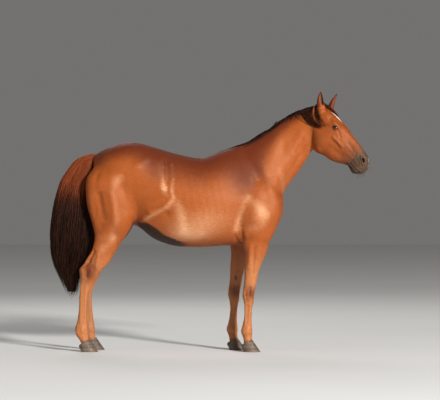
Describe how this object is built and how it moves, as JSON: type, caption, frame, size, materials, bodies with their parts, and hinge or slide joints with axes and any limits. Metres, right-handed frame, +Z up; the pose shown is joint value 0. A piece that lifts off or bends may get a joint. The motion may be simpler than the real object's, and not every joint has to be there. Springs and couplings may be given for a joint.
{
  "type": "horse figure",
  "caption": "Life-size standing horse with its head turned a little to one side: lean trunk, long legs, short mane and a full hanging tail.",
  "frame": {"origin": "on the floor under the middle of the whole outline", "axes": "+X towards the muzzle, +Y to the left of the horse, +Z up"},
  "size_m": [2.4084, 0.5832, 1.959],
  "materials": {
    "coat": "short sleek chestnut hair",
    "lower_leg_coat": "short lighter chestnut hair",
    "long_hair": "long dark red-brown hair",
    "horn": "smooth grey-brown hoof horn",
    "eye": "wet, dark brown"
  },
  "bodies": {
    "root": {"barrel": "coat", "ear_left": "coat", "ear_right": "coat", "eye_left": "eye", "eye_right": "eye", "fore_cannon_left": "lower_leg_coat", "fore_cannon_right": "lower_leg_coat", "fore_hoof_left": "horn", "fore_hoof_right": "horn", "forearm_left": "coat", "forearm_right": "coat", "forelock": "long_hair", "gaskin_left": "coat", "gaskin_right": "coat", "head": "coat", "hind_cannon_left": "lower_leg_coat", "hind_cannon_right": "lower_leg_coat", "hind_hoof_left": "horn", "hind_hoof_right": "horn", "mane": "long_hair", "neck": "coat", "quarters": "coat", "shoulders": "coat", "tail": "long_hair"}
  },
  "joints": []
}
